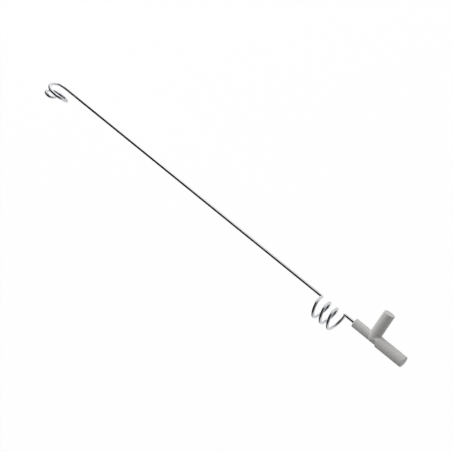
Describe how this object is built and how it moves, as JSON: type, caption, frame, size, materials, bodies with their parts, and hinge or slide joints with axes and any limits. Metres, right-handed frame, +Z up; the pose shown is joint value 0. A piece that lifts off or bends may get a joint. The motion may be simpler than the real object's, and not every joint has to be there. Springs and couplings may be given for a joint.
{
  "type": "spring wire cord guide",
  "caption": "Chromed spring wire with a flex coil and an open pigtail eye for a cord, pressed into a grey moulded tee whose two plugs fit a round socket.",
  "frame": {"origin": "centre of the long plug's free end", "axes": "+X runs from the long plug along the wire to the eye; the branch plug points to -Y; +Z is up with the guide laid flat, and the eye rises to +Z"},
  "size_m": [0.4688, 0.0537, 0.0343],
  "materials": {
    "plug_plastic": "fine matte moulded grain",
    "wire_chrome": "bright chrome plate"
  },
  "bodies": {
    "holder": {"tee_plug": "plug_plastic", "wire_shank": "wire_chrome"},
    "coil": {"spring_coil": "wire_chrome"},
    "arm": {"wire_rod": "wire_chrome", "pigtail_eye": "wire_chrome"}
  },
  "joints": [
    {"name": "wire_nod", "type": "hinge", "parent": "holder", "child": "coil", "pos_m": [0.08635, 0.01065, 0.0023], "axis": [0, 1, 0], "range_deg": [-30, 30], "stiffness_Nm_per_rad": 3.7, "deforming": ["spring_coil"]},
    {"name": "wire_sway", "type": "hinge", "parent": "coil", "child": "arm", "pos_m": [0.10105, 0.01065, 0.0023], "axis": [0, 0, 1], "range_deg": [-30, 30], "stiffness_Nm_per_rad": 3.7, "deforming": ["spring_coil"]}
  ]
}
